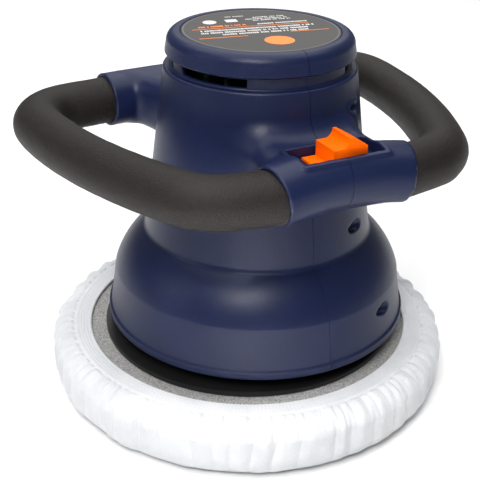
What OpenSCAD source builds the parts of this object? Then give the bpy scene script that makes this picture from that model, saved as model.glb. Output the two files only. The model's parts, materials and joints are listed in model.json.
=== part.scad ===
// Random-orbit car polisher with a loop handle.
// The frame: +Z up, the front (switch side) towards -Y, and the motor axis at X = Y = 0.
// The bonnet's lowest face is at Z = 0. The pad axis is offset from the motor axis by the orbit.

/* [Pad and bonnet] */
// Radius of the foam pad
pad_r = 127; // [120:0.5:130]
// Radius of the bonnet at its widest
bonnet_r = 133; // [130.5:0.5:135]
// Radius of the opening that the elastic closes to
bonnet_mouth_r = 107; // [103:0.5:110]
// Height of the top of the foam pad
pad_top_z = 36; // [34:0.5:38]
// Radius of the backing plate
plate_r = 97.3; // [90:0.1:99]
// Distance from the motor axis to the pad axis
orbit = 6; // [4:0.5:7]

/* [Housing] */
// Height of the open rim of the skirt
rim_z = 48.4; // [47:0.1:50]
// Radius of the rim
rim_r = 100.1; // [98:0.1:102]
// Height of the shoulder between skirt and bell
shoulder_z = 80.5; // [78:0.1:83]
// Radius of the shoulder
shoulder_r = 94.7; // [93:0.1:96]
// Height where the bell meets the body cone
waist_z = 108; // [106:0.1:110]
// Radius where the bell meets the body cone
waist_r = 74; // [73:0.1:76]
// Height of the top edge of the body cone
neck_z = 216; // [214:0.1:217]
// Radius of the top edge of the body cone
neck_r = 60.3; // [59:0.1:62]
// Radius of the wall inside the vent groove
groove_r = 56; // [55:0.1:57]
// Height of the lower edge of the lid
lid_z = 223.5; // [222:0.1:225]
// Radius of the lid
lid_r = 59; // [58:0.1:60]
// Overall height
total_h = 237; // [236:0.5:239]
// Radius of the label disc
label_r = 48.9; // [45:0.1:50]
// Wall thickness of the shells
wall = 3; // [2.5:0.1:3.2]

/* [Handle] */
// Height of the handle loop's centreline
handle_z = 172.3; // [171:0.1:174]
// Distance of the centreline's front from the motor axis
handle_front = 99; // [98:0.1:100]
// Radius of the foam grips
grip_r = 15.9; // [15:0.1:16]
// Radius of the steel tube
tube_r = 9.5; // [9:0.1:10]
// Outer radius of the two sleeves that hold the loop
sleeve_r = 18; // [17.8:0.1:18.5]
// Half the length of the front sleeve
front_half = 43; // [42:0.5:45]
// Half the length of the rear sleeve
rear_half = 69; // [67:0.5:70]

/* [Switch] */
// Half the width of the switch tray
tray_half = 28.4; // [28:0.1:29]
// Height of the top of the tray
tray_top = 190.5; // [190:0.1:191]
// Travel of the switch slider
switch_travel = 8; // [6:0.5:8]

/* [Motor] */
// Radius of the motor can
can_r = 30; // [29:0.5:31]
// Radius of the motor shaft
shaft_r = 4; // [4:0.1:4]
// Number of fan blades
fan_blades = 14; // [8:1:16]

/* [Hidden] */
$fn = 96;

navy = [0.13, 0.16, 0.32];
near_black = [0.10, 0.09, 0.085];
orange = [0.98, 0.42, 0.02];
steel = [0.70, 0.71, 0.73];
dark_steel = [0.35, 0.36, 0.38];
brass = [0.80, 0.65, 0.30];
copper = [0.72, 0.38, 0.18];
grey = [0.45, 0.45, 0.45];
board_green = [0.10, 0.35, 0.18];
white = [0.93, 0.94, 0.95];

gap = 0.3;          // clearance between pieces that move past each other
seam = 0.15;        // half the parting gap between the two shells
flare = 7;          // radius of the blend where an arm meets the body

// The handle loop's right half is a chain of tangent arcs from the front centre to the rear
// centre. Each entry is [radius, turn in degrees], and the last arc turns what is left of 180.
loop_arcs = [[314.5, 12], [33, 49.6], [315, 25.4], [31.4, 84.7], [682, 8.3]];
rear_y = 97.9;      // where the loop crosses the rear centre

// Motor and drive heights
bracket_z = 118;    // underside of the motor bracket's plate
bracket_top = 121.5;
can_top = 178;
cap_top = 192.5;    // top plate of the end cap
core_z = 134;
core_h = 34;
comm_z = 176.5;
comm_h = 11;
comm_r = 9;
fan_z = 96;
hub_z = 58;
pin_r = 6;          // crank pin
bearing_z = 46;     // pad bearing
board_z = 206;
board_t = 1.6;
plate_t = 3.8;
plate_top = pad_top_z + plate_t;
inlet_y = 128;
inlet_r = 15;
switch_y = -92.5;   // line that the switch lever and the slider's prongs run along

// Housing screws run along X, at these [Y, Z] places on the front, and mirrored at the rear
screw_sites = [[-50.7, 197.2], [-61.5, 123.3], [-82.7, 71.1]];
boss_r = 5.5;
screw_r = 1.9;
pocket_r = 3.8;

// ---------- helpers ----------

function unit(v) = v / norm(v);

function arc_points(centre, r, from, to, n) =
    [for (k = [0:n]) centre + r * [cos(from + (to - from) * k / n), sin(from + (to - from) * k / n)]];

function body_r(z) = waist_r + (neck_r - waist_r) * (z - waist_z) / (neck_z - waist_z);
function skirt_r(z) = shoulder_r + (rim_r - 1.6 - shoulder_r) * (shoulder_z - z) / (shoulder_z - rim_z - 5.8);
function shell_r(z) = z > waist_z ? body_r(z) : skirt_r(z);

// Headings, corners and centres of the handle loop's arcs
function heading(i) = i == 0 ? 0 : heading(i - 1) + loop_arcs[i - 1][1];
function corner(i) = i == 0 ? [0, -handle_front]
    : corner(i - 1) + loop_arcs[i - 1][0]
        * [sin(heading(i)) - sin(heading(i - 1)), cos(heading(i - 1)) - cos(heading(i))];
function loop_centre(i) = corner(i) + loop_arcs[i][0] * [-sin(heading(i)), cos(heading(i))];
function front_heading(x) = asin(x / loop_arcs[0][0]);
function rear_heading(x) = 180 - asin((x - loop_centre(4)[0]) / loop_arcs[4][0]);

// A tube swept along a path, as rings of n points. No tangent may be parallel to ref.
module sweep(path, r, n = 8, ref = [1, 0, 0]) {
    last = len(path) - 1;
    rings = [for (k = [0:last])
        let (t = unit(path[min(k + 1, last)] - path[max(k - 1, 0)]),
             u = unit(cross(t, ref)), v = cross(t, u))
        for (j = [0:n - 1]) path[k] + r * (cos(360 * j / n) * u + sin(360 * j / n) * v)];
    sides = [for (k = [0:last - 1]) for (j = [0:n - 1])
        let (a = k * n + j, b = k * n + (j + 1) % n)
        each [[a, b, b + n], [a, b + n, a + n]]];
    polyhedron(rings, concat(sides,
        [[for (j = [0:n - 1]) n - 1 - j]],
        [[for (j = [0:n - 1]) last * n + j]]), convexity = 6);
}

// A smooth curve through a few corners, as a Bezier chain of quadratic pieces
function bend(p, n = 5) = [p[0],
    for (i = [1:len(p) - 2])
        let (a = i == 1 ? (p[0] * 0.4 + p[1] * 0.6) : (p[i - 1] + p[i]) / 2,
             b = i == len(p) - 2 ? (p[i + 1] * 0.4 + p[i] * 0.6) : (p[i] + p[i + 1]) / 2)
        for (k = [(i == 1 ? 0 : 1):n])
            let (s = k / n) a * (1 - s) * (1 - s) + p[i] * 2 * s * (1 - s) + b * s * s,
    p[len(p) - 1]];

module ring(r_out, r_in, h) {
    difference() {
        cylinder(r = r_out, h = h);
        translate([0, 0, -1]) cylinder(r = r_in, h = h + 2);
    }
}

// A pan-head screw with its tip at the origin and its head up
module screw(r, length, head_r, head_h) {
    cylinder(r = r, h = length + 0.01, $fn = 32);
    difference() {
        translate([0, 0, length]) cylinder(r = head_r, h = head_h, $fn = 32);
        for (a = [0, 90])
            rotate([0, 0, a]) translate([-head_r * 0.6, -head_r * 0.14, length + head_h * 0.45])
                cube([head_r * 1.2, head_r * 0.28, head_h]);
    }
}

module balls(count, pitch, r) {
    for (k = [0:count - 1])
        rotate([0, 0, k * 360 / count]) translate([pitch, 0, 0]) sphere(r = r, $fn = 24);
}

module at_pad_axis() { translate([-orbit, 0, 0]) children(); }

// ---------- housing ----------

bell_centre = let (p = [shoulder_r, shoulder_z], q = [waist_r, waist_z], m = (p + q) / 2,
    d = unit(q - p), bulge = 52) m + [-d[1], d[0]] * sqrt(bulge * bulge - pow(norm(q - p) / 2, 2));
bell_r = norm([shoulder_r, shoulder_z] - bell_centre);
bell_from = atan2(shoulder_z - bell_centre[1], shoulder_r - bell_centre[0]);
bell_to = atan2(waist_z - bell_centre[1], waist_r - bell_centre[0]);
lid_round = 6.5;

outer_profile = concat(
    [[0, rim_z], [rim_r - 1, rim_z], [rim_r, rim_z + 1], [rim_r, rim_z + 4.6],
     [rim_r - 0.5, rim_z + 5.3], [rim_r - 1.6, rim_z + 5.8]],
    arc_points(bell_centre, bell_r, bell_from, bell_to, 10),
    [[neck_r + 0.1, neck_z - 1.4], [neck_r - 0.4, neck_z - 0.4], [neck_r - 1.4, neck_z],
     [groove_r, neck_z], [groove_r, lid_z], [lid_r - 1.6, lid_z], [lid_r - 0.5, lid_z + 0.5],
     [lid_r, lid_z + 1.6]],
    arc_points([lid_r - 1 - lid_round, total_h - lid_round], lid_round, 0, 90, 8),
    [[0, total_h]]);

inner_profile = concat(
    [[0, rim_z - 1], [rim_r - wall, rim_z - 1], [rim_r - wall, rim_z + 1]],
    arc_points(bell_centre, bell_r - wall, bell_from, bell_to, 10),
    [[neck_r - wall, neck_z - wall], [groove_r - wall, neck_z - wall + 0.01],
     [groove_r - wall, total_h - wall - 2], [groove_r - wall - 3, total_h - wall],
     [0, total_h - wall]]);

// One arm, pointing to -Y, from inside the body wall to the sleeve at far_y. Its section is a
// rounded box that widens from w_near to w_far along an arc and blends into the body cone.
// inset shrinks the section for the hollow inside.
function arm_section(w, top, bottom, r, n = 6) = concat(
    [for (k = [0:n]) [w - r + r * cos(-90 + 90 * k / n), bottom + r + r * sin(-90 + 90 * k / n)]],
    [for (k = [0:n]) [w - r + r * cos(90 * k / n), top - r + r * sin(90 * k / n)]],
    [for (k = [0:n]) [-w + r + r * cos(90 + 90 * k / n), top - r + r * sin(90 + 90 * k / n)]],
    [for (k = [0:n]) [-w + r + r * cos(180 + 90 * k / n), bottom + r + r * sin(180 + 90 * k / n)]]);

module arm(w_near, w_far, far_y, top_near, top_far, bottom_near, bottom_far, round_r, inset = 0) {
    near_y = 52;
    start = inset > 0 ? -9 : -2.2;
    steps = [for (d = [start, 0.01, 0.5, 1.5, 3, 5, flare]) d];
    stations = [for (k = [1:6]) near_y + flare + 7 + (far_y - near_y - flare - 7) * k / 6];
    bulge_power = 1.7;
    function share(y) = max(0, min(1, (y - near_y) / (far_y - near_y)));
    function w_at(y) = w_near + (w_far - w_near)
        * (1 - pow(1 - pow(share(y), bulge_power), 1 / bulge_power)) - inset;
    function top_at(y) = top_near + (top_far - top_near) * share(y) - inset;
    function bottom_at(y) = bottom_near + (bottom_far - bottom_near) * share(y) + inset;
    function extra(d) = d >= flare || inset > 0 ? 0
        : flare - sqrt(flare * flare - pow(flare - max(d, 0), 2));
    near_rings = [for (d = steps)
        let (e = extra(d), y = near_y + 5)
        [for (p = arm_section(w_at(y) + e, top_at(y) + e, bottom_at(y) - e, round_r - inset + e))
            [p[0], -sqrt(pow(body_r(p[1]), 2) - p[0] * p[0]) - d, p[1]]]];
    far_rings = [for (y = stations)
        [for (p = arm_section(w_at(y), top_at(y), bottom_at(y), round_r - inset))
            [p[0], -y, p[1]]]];
    rings = concat(near_rings, far_rings);
    n = len(rings[0]);
    last = len(rings) - 1;
    sides = [for (k = [0:last - 1]) for (j = [0:n - 1])
        [k * n + j, (k + 1) * n + j, (k + 1) * n + (j + 1) % n, k * n + (j + 1) % n]];
    tris = [for (f = sides) each [[f[0], f[1], f[2]], [f[0], f[2], f[3]]]];
    centre_near = [0, -body_r(170) - start, 170];
    points = concat([for (r = rings) each r], [centre_near, [0, -far_y, 172]]);
    caps = [for (j = [0:n - 1]) each [[n * (last + 1), j, (j + 1) % n],
        [n * (last + 1) + 1, last * n + (j + 1) % n, last * n + j]]];
    polyhedron(points, concat(tris, caps), convexity = 4);
}

module front_arm(inset = 0) {
    arm(38, 40, 95, 193, 185.5, 150, 155.5, 13, inset);
}

module rear_arm(inset = 0) {
    mirror([0, 1, 0]) arm(43, 67.5, 95, 190, 189.6, 148, 155, 12, inset);
}

// The front sleeve bows inwards and down a little between the grips, and the rear one follows
// the loop.
bow = 4.2;
bow_r = (pow(front_half, 2) + bow * bow) / (2 * bow);
sleeve_end = loop_centre(0) + loop_arcs[0][0] * [sin(front_heading(front_half)),
    -cos(front_heading(front_half))];

module front_sleeve(r) {
    reach = asin(front_half / bow_r);
    translate([0, sleeve_end[1], handle_z]) rotate([45, 0, 0])
        translate([0, -bow_r + bow, 0]) rotate([0, 0, 90 - reach])
            rotate_extrude(angle = 2 * reach) translate([bow_r, 0]) circle(r = r);
}

module rear_sleeve(r) {
    reach = asin(rear_half / loop_arcs[4][0]);
    translate([0, rear_y - loop_arcs[4][0], handle_z]) rotate([0, 0, 90 - reach])
        rotate_extrude(angle = 2 * reach) translate([loop_arcs[4][0], 0]) circle(r = r);
}

// Ribs inside the sleeves, that the two tubes pass through
module sleeve_ribs() {
    front_r = loop_arcs[0][0];
    rear_r = loop_arcs[4][0];
    for (s = [-1, 1]) {
        for (x = [24, 36])
            sleeve_rib(s * x, front_r - handle_front - sqrt(front_r * front_r - x * x))
                front_sleeve(sleeve_r - 1);
        for (x = [34, 60])
            sleeve_rib(s * x, rear_y - rear_r + sqrt(rear_r * rear_r - x * x))
                rear_sleeve(sleeve_r - 1);
    }
}

module sleeve_rib(x, y) {
    half_t = 1;
    difference() {
        intersection() {
            translate([x - half_t, y - 30, handle_z - 30]) cube([2 * half_t, 60, 60]);
            children();
        }
        translate([x - 3 * half_t, y, handle_z]) rotate([0, 90, 0])
            cylinder(r = tube_r + 2 * gap, h = 6 * half_t);
    }
}

// Each boss runs from the left half to the right half's outside, with a web out to the wall
module bosses() {
    reach = 14;
    for (side = [0, 180], p = screw_sites) {
        outside = shell_r(p[1]);
        web = outside - abs(p[0]) - 1.7;
        run = sqrt(pow(outside, 2) - p[0] * p[0]) + (p[1] > 190 ? 1.6 : -1.2);
        rotate([0, 0, side]) {
            translate([side == 0 ? -reach : -run, p[0], p[1]]) rotate([0, 90, 0])
                cylinder(r = boss_r, h = reach + run, $fn = 48);
            translate([-reach, p[0] - web, p[1] - 1.2]) cube([2 * reach, web, 2.4]);
        }
    }
}

module screw_holes() {
    for (s = [-1, 1], p = screw_sites)
        translate([0, s * p[0], p[1]]) rotate([0, 90, 0]) {
            translate([0, 0, -12]) cylinder(r = screw_r, h = 26, $fn = 32);
            translate([0, 0, 13]) cylinder(r = pocket_r, h = 60, $fn = 32);
        }
}

module vent_slots() {
    for (a = [-90 + 36, -90 - 83.5, 90 + 36, 90 - 83.5])
        rotate([0, 0, a]) rotate_extrude(angle = 47.5)
            translate([groove_r - wall - 1, neck_z + 1.2]) square([wall + 2, lid_z - neck_z - 2.4]);
}

module tray_block() {
    translate([-tray_half, -105.5, 182.2]) cube([2 * tray_half, 28.7, tray_top - 182.2]);
}

module tray_recess() {
    translate([-tray_half + 2.2, -101.5, 183.5]) cube([2 * tray_half - 4.4, 22.6, 20]);
    translate([-6 - switch_travel, switch_y - 3.5, 170]) cube([12 + switch_travel, 7, 20]);
}

board_pillars = [[30, 14], [30, -14], [-30, 14], [-30, -14]];

module housing_shell() {
    difference() {
        union() {
            difference() {
                union() {
                    rotate_extrude($fn = 128) polygon(outer_profile);
                    front_arm();
                    rear_arm();
                    front_sleeve(sleeve_r);
                    rear_sleeve(sleeve_r);
                }
                rotate_extrude($fn = 128) polygon(inner_profile);
                front_arm(wall);
                rear_arm(wall);
                front_sleeve(grip_r + 0.1);
                rear_sleeve(grip_r + 0.1);
            }
            tray_block();
            bosses();
            sleeve_ribs();
            // ledge that carries the motor bracket
            translate([0, 0, bracket_z - 3.5]) ring(body_r(bracket_z) - wall + 1, 50, 3.5);
            for (p = board_pillars)
                translate([p[0], p[1], board_z + board_t]) cylinder(r = 4,
                    h = total_h - wall + 1 - board_z - board_t, $fn = 32);
        }
        tray_recess();
        screw_holes();
        vent_slots();
        translate([0, 0, total_h - 0.9]) cylinder(r = label_r + 0.2, h = 2);
        // hole for the power inlet and screw holes of the bracket and board
        translate([0, 90, handle_z]) rotate([-90, 0, 0]) cylinder(r = inlet_r + 0.1, h = 30);
        for (a = [45:90:315])
            rotate([0, 0, a]) translate([52.2, 0, bracket_z - 5]) cylinder(r = 1.5, h = 6, $fn = 32);
        for (p = board_pillars)
            translate([p[0], p[1], board_z]) cylinder(r = 1.5, h = 12, $fn = 32);
    }
}

module housing_half_left() {
    color(navy) intersection() {
        housing_shell();
        translate([-200 - seam, -200, 0]) cube([200, 400, 300]);
    }
}

module housing_half_right() {
    color(navy) intersection() {
        housing_shell();
        translate([seam, -200, 0]) cube([200, 400, 300]);
    }
}

module housing_screws() {
    color(steel) for (s = [-1, 1], p = screw_sites)
        translate([-11, s * p[0], p[1]]) rotate([0, 90, 0]) screw(screw_r, 24, 3.3, 2.4);
}

module label_disc() {
    color([0.28, 0.27, 0.27]) translate([0, 0, total_h - 0.9]) cylinder(r = label_r, h = 0.6);
}

// ---------- handle ----------

// Points along the right half of the loop's centreline, with their headings
function loop_path(x_front, x_rear, step = 7, rear_step = 2) = [for (i = [0:4])
    let (from = i == 0 ? front_heading(x_front) : heading(i),
         to = i == 4 ? rear_heading(x_rear) : heading(i + 1),
         n = ceil((to - from) / (i == 4 ? rear_step : step)))
    for (k = [(i == 0 ? 0 : 1):n])
        let (h = from + (to - from) * k / n)
        [loop_centre(i)[0] + loop_arcs[i][0] * sin(h), loop_centre(i)[1] - loop_arcs[i][0] * cos(h), h]];

// A tube with a bore along half of the loop, as one closed mesh
module loop_half(r_out, r_in, x_front, x_rear, n = 20) {
    path = loop_path(x_front, x_rear);
    last = len(path) - 1;
    points = [for (r = [r_out, r_in]) for (p = path) for (j = [0:n - 1])
        let (a = 360 * (j + 0.5) / n)
        [p[0] + r * cos(a) * sin(p[2]), p[1] - r * cos(a) * cos(p[2]), handle_z + r * sin(a)]];
    inner = (last + 1) * n;
    faces = [for (k = [0:last - 1]) for (j = [0:n - 1])
        let (a = k * n + j, b = k * n + (j + 1) % n)
        each [[a, b, b + n], [a, b + n, a + n],
            [inner + a, inner + b + n, inner + b], [inner + a, inner + a + n, inner + b + n]]];
    ends = [for (j = [0:n - 1])
        let (b = (j + 1) % n, f = last * n)
        each [[j, inner + j, inner + b], [j, inner + b, b],
            [f + j, inner + f + b, inner + f + j], [f + j, f + b, inner + f + b]]];
    polyhedron(points, concat(faces, ends), convexity = 6);
}

module handle_tube_right() {
    color(steel) loop_half(tube_r, tube_r - 1.2, 19, 22);
}

module handle_tube_left() {
    mirror([1, 0, 0]) handle_tube_right();
}

module grip_right() {
    color(near_black) loop_half(grip_r, tube_r, front_half - 2.5, rear_half - 2.5);
}

module grip_left() {
    mirror([1, 0, 0]) grip_right();
}

// ---------- switch ----------

module switch_housing() {
    color(near_black) difference() {
        translate([-14, switch_y - 8, 162]) cube([28, 16, 13.5]);
        translate([-11, switch_y - 2, 172]) cube([14, 4, 5]);
    }
}

module switch_terminals() {
    color(brass) for (x = [-8, 3.2], z = [163, 168])
        translate([x, switch_y + 8, z]) cube([4.8, 6, 0.8]);
}

// Slider profile in XZ: a thumb scoop on the left of a ridge, and a slope to its right
module switch_slider() {
    base_z = 183.8;
    low_top = 194.6;
    ridge_top = 200.2;
    scoop_r = 5;
    color(orange) {
        translate([-16, -100, base_z]) cube([31, 19.5, 1.6]);
        translate([0, -80.5, 0]) rotate([90, 0, 0]) linear_extrude(height = 19.5) difference() {
            polygon([[-7, base_z + 1], [-7, low_top], [-1.6, low_top], [3.4, ridge_top],
                [5.6, ridge_top], [15, low_top], [15, base_z + 1]]);
            translate([-1.6, low_top + scoop_r]) circle(r = scoop_r, $fn = 48);
        }
        for (x = [-4, 1.7])
            translate([x, switch_y - 2, 176.5]) cube([2.3, 4, base_z - 176.4]);
    }
}

module switch_lever() {
    color(near_black) translate([-1.4, switch_y - 1.6, 173]) cube([2.8, 3.2, 7.5]);
}

// ---------- power inlet and wiring ----------

module power_inlet() {
    color(near_black) translate([0, 0, handle_z]) rotate([-90, 0, 0]) difference() {
        translate([0, 0, 104]) cylinder(r = inlet_r, h = inlet_y - 104);
        translate([0, 0, 111]) cylinder(r = inlet_r - 2.6, h = 30);
        for (s = [-1, 1])
            translate([s * 6.35 - 0.75, -3.2, 100]) cube([1.5, 6.4, 20]);
    }
}

module inlet_blades() {
    color(brass) for (s = [-1, 1])
        translate([s * 6.35 - 0.75, 99, handle_z - 3.2]) cube([1.5, 26, 6.4]);
}

module inlet_wires() {
    color([0.75, 0.75, 0.72]) for (s = [-1, 1])
        sweep(bend([[s * 6, 98.8, handle_z], [s * 6, 84, handle_z], [s * 5, 62, 178],
            [s * 5, 48, 184], [s * 5, 40, 199], [s * 5, 33, 204.8]]), 1.3);
}

module switch_wires() {
    color([0.75, 0.75, 0.72]) for (s = [-1, 1])
        sweep(bend([[s * 5.6, switch_y + 14.2, 168.4], [s * 6, -74, 169], [s * 6, -62, 176],
            [s * 6, -48, 184], [s * 6, -40, 199], [s * 6, -33, 204.8]]), 1.3);
}

module motor_leads() {
    color([0.65, 0.10, 0.08]) for (s = [-1, 1])
        sweep(bend([[s * 28.3, 0, 181.6], [s * 36, 0, 184], [s * 38, 0, 194],
            [s * 34, 0, 204.8]]), 1.1, 8, [0, 1, 0]);
}

module circuit_board() {
    color(board_green) difference() {
        translate([0, 0, board_z]) cylinder(r = 40, h = board_t);
        for (p = board_pillars)
            translate([p[0], p[1], board_z - 1]) cylinder(r = 1.7, h = 4, $fn = 32);
    }
}

module board_screws() {
    color(steel) for (p = board_pillars)
        translate([p[0], p[1], board_z + 7]) rotate([180, 0, 0]) screw(1.5, 7, 2.8, 1.8);
}

module bridge_rectifier() {
    color(near_black) translate([-9, 12, board_z + board_t]) cube([18, 6, 15]);
}

module filter_capacitor() {
    color([0.15, 0.25, 0.45]) translate([0, -16, board_z + board_t]) cylinder(r = 7, h = 19);
}

module choke_coil() {
    color(copper) translate([18, -1, board_z + board_t + 3.5]) rotate_extrude()
        translate([6.5, 0]) circle(r = 3.5, $fn = 32);
}

// ---------- motor, fixed parts ----------

module motor_can() {
    color(dark_steel) difference() {
        translate([0, 0, bracket_top]) cylinder(r = can_r, h = can_top - bracket_top);
        translate([0, 0, bracket_top + 2]) cylinder(r = can_r - 1.8, h = 80);
        translate([0, 0, bracket_top - 1]) cylinder(r = 12, h = 10);
        for (s = [-1, 1])
            translate([0, s * 19, bracket_top - 1]) cylinder(r = 1.8, h = 10, $fn = 32);
    }
}

module motor_magnets() {
    color([0.22, 0.22, 0.23]) for (a = [25, 205])
        rotate([0, 0, a]) translate([0, 0, core_z - 4]) rotate_extrude(angle = 130)
            translate([24.2, 0]) square([can_r - 1.8 - 24.2, core_h + 8]);
}

module motor_end_cap() {
    color([0.75, 0.73, 0.68]) difference() {
        union() {
            translate([0, 0, can_top]) cylinder(r = can_r, h = cap_top - can_top);
            translate([0, 0, cap_top - 4]) cylinder(r = 14, h = 8);
        }
        translate([0, 0, can_top - 1]) cylinder(r = can_r - 2.2, h = cap_top - can_top - 1.5);
        translate([0, 0, 189]) cylinder(r = 11, h = 20);
        translate([0, 0, 180]) cylinder(r = 7, h = 20);
        translate([-40, -4.8, can_top - 1]) cube([80, 9.6, 8.1]);
    }
}

module brush_holders() {
    color(brass) for (s = [0, 180])
        rotate([0, 0, s]) difference() {
            translate([10.6, -4.6, can_top + 0.1]) cube([17.4, 9.2, 6.8]);
            translate([9, -3.6, can_top + 1.1]) cube([18, 7.2, 4.8]);
        }
}

module carbon_brushes() {
    color([0.13, 0.13, 0.13]) for (s = [0, 180])
        rotate([0, 0, s]) translate([comm_r + gap, -3.4, can_top + 1.3]) cube([9, 6.8, 4.4]);
}

module brush_springs() {
    turns = 4;
    steps = 10;
    color(steel) for (s = [0, 180])
        rotate([0, 0, s]) sweep([for (k = [0:turns * steps]) [18.8 + 7.7 * k / (turns * steps),
            1.7 * cos(360 * k / steps), can_top + 3.5 + 1.7 * sin(360 * k / steps)]], 0.4, 6);
}

module bearing_outer(z) {
    color(steel) translate([0, 0, z]) ring(11, 9.3, 7);
}

module bearing_inner(z) {
    color(steel) translate([0, 0, z]) ring(5.8, shaft_r, 7);
}

module upper_bearing_outer() { bearing_outer(189); }
module upper_bearing_inner() { bearing_inner(189); }
module lower_bearing_outer() { bearing_outer(114); }
module lower_bearing_inner() { bearing_inner(114); }

module upper_bearing_balls() {
    color(steel) translate([0, 0, 192.5]) balls(8, 7.7, 1.55);
}

module lower_bearing_balls() {
    color(steel) translate([0, 0, 117.5]) balls(8, 7.7, 1.55);
}

module motor_bracket() {
    color([0.72, 0.73, 0.75]) difference() {
        union() {
            translate([0, 0, bracket_z]) cylinder(r = 54, h = bracket_top - bracket_z);
            translate([0, 0, 112.5]) cylinder(r = 15, h = bracket_top - 112.5);
        }
        translate([0, 0, 114]) cylinder(r = 11, h = 20);
        translate([0, 0, 110]) cylinder(r = 7.5, h = 20);
        for (a = [0:90:270])
            rotate([0, 0, a - 30]) rotate_extrude(angle = 60)
                translate([33, bracket_z - 1]) square([13, 8]);
        for (a = [45:90:315])
            rotate([0, 0, a]) translate([52.2, 0, bracket_z - 1]) cylinder(r = 1.5, h = 8, $fn = 32);
        for (s = [-1, 1])
            translate([0, s * 19, bracket_z - 1]) cylinder(r = 1.8, h = 10, $fn = 32);
    }
}

module bracket_screws() {
    color(steel) for (a = [45:90:315])
        rotate([0, 0, a]) translate([52.2, 0, bracket_z - 3.2]) screw(1.5, 6.7, 2.8, 1.8);
}

module motor_screws() {
    color(steel) for (s = [-1, 1])
        translate([0, s * 19, bracket_top + 1.9]) rotate([180, 0, 0]) screw(1.8, 5.4, 3.2, 2);
}

// ---------- rotor ----------

module motor_shaft() {
    color(steel) translate([0, 0, 68]) cylinder(r = shaft_r, h = 129.5);
}

module armature_core() {
    slots = 12;
    color(dark_steel) translate([0, 0, core_z]) linear_extrude(height = core_h) difference() {
        circle(r = 23);
        circle(r = shaft_r);
        for (k = [0:slots - 1])
            rotate([0, 0, k * 360 / slots]) {
                translate([15.5, 0]) circle(r = 2.6, $fn = 24);
                translate([17, -0.9]) square([8, 1.8]);
            }
    }
}

module armature_windings() {
    color(copper) for (z = [core_z - 7.5, core_z + core_h])
        translate([0, 0, z]) rotate_extrude()
            polygon([[7, 1.5], [8.5, 0], [17, 0], [19.5, 2.5], [19.5, 5], [17, 7.5], [8.5, 7.5], [7, 6]]);
}

module commutator() {
    bars = 12;
    color(copper) difference() {
        translate([0, 0, comm_z]) ring(comm_r, shaft_r, comm_h);
        for (k = [0:bars - 1])
            rotate([0, 0, k * 360 / bars]) translate([comm_r - 0.8, -0.3, comm_z - 1])
                cube([3, 0.6, comm_h + 2]);
    }
}

module cooling_fan() {
    color([0.16, 0.16, 0.17]) difference() {
        union() {
            translate([0, 0, fan_z]) cylinder(r = 9, h = 14);
            translate([0, 0, fan_z + 11.5]) cylinder(r = 42, h = 2);
            for (k = [0:fan_blades - 1])
                rotate([0, 0, k * 360 / fan_blades]) translate([8, -0.8, fan_z])
                    cube([33, 1.6, 12]);
        }
        translate([0, 0, fan_z - 1]) cylinder(r = shaft_r, h = 20);
    }
}

module eccentric_hub() {
    color(steel) difference() {
        union() {
            translate([0, 0, hub_z + 8]) cylinder(r = 13, h = 26);
            translate([-2, 0, hub_z]) cylinder(r = 24, h = 8);
            at_pad_axis() {
                translate([0, 0, bearing_z - 1]) cylinder(r = pin_r, h = 14);
                translate([0, 0, bearing_z + 10]) cylinder(r = 8.4, h = 3);
            }
        }
        translate([0, 0, 68]) cylinder(r = shaft_r, h = 30);
        at_pad_axis() translate([0, 0, bearing_z - 2]) cylinder(r = 3, h = 12, $fn = 32);
        translate([3, 0, 84]) rotate([0, 90, 0]) cylinder(r = 2.5, h = 20, $fn = 32);
        for (s = [-1, 1])
            translate([14, s * 11, hub_z - 1]) cylinder(r = 1.8, h = 10, $fn = 32);
    }
}

module counterweight() {
    color(dark_steel) difference() {
        translate([0, 0, hub_z + 8]) rotate([0, 0, -62]) rotate_extrude(angle = 124)
            translate([13.2, 0]) square([31, 12]);
        for (s = [-1, 1])
            translate([14, s * 11, hub_z]) cylinder(r = 1.8, h = 30, $fn = 32);
    }
}

module counterweight_screws() {
    color(steel) for (s = [-1, 1])
        translate([14, s * 11, hub_z + 0.6]) screw(1.8, 19.4, 3.2, 2);
}

module hub_set_screw() {
    color(dark_steel) difference() {
        translate([4, 0, 84]) rotate([0, 90, 0]) cylinder(r = 2.5, h = 8.4, $fn = 32);
        translate([9.4, 0, 84]) rotate([0, 90, 0]) cylinder(r = 1.3, h = 4, $fn = 6);
    }
}

module pad_bearing_inner() {
    color(steel) at_pad_axis() translate([0, 0, bearing_z]) ring(9.5, pin_r, 10);
}

module pad_bolt() {
    color(dark_steel) at_pad_axis() {
        translate([0, 0, bearing_z - 2.8]) cylinder(r = 3, h = 11.8, $fn = 32);
        difference() {
            translate([0, 0, bearing_z - 6.8]) cylinder(r = 5, h = 4);
            translate([0, 0, bearing_z - 7.8]) cylinder(r = 2.9, h = 3.4, $fn = 6);
        }
    }
}

module pad_bolt_washer() {
    color(steel) at_pad_axis() translate([0, 0, bearing_z - 2.8]) ring(8.6, 3, 1.8);
}

// ---------- pad ----------

module pad_bearing_outer() {
    color(steel) at_pad_axis() translate([0, 0, bearing_z]) ring(16, 12.5, 10);
}

module pad_bearing_balls() {
    color(steel) at_pad_axis() translate([0, 0, bearing_z + 5]) balls(10, 11.1, 1.3);
}

module bearing_retainer() {
    color(dark_steel) at_pad_axis() translate([0, 0, bearing_z + 10]) difference() {
        ring(16.8, 14.2, 1.1);
        translate([10, -2.5, -1]) cube([10, 5, 4]);
    }
}

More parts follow.
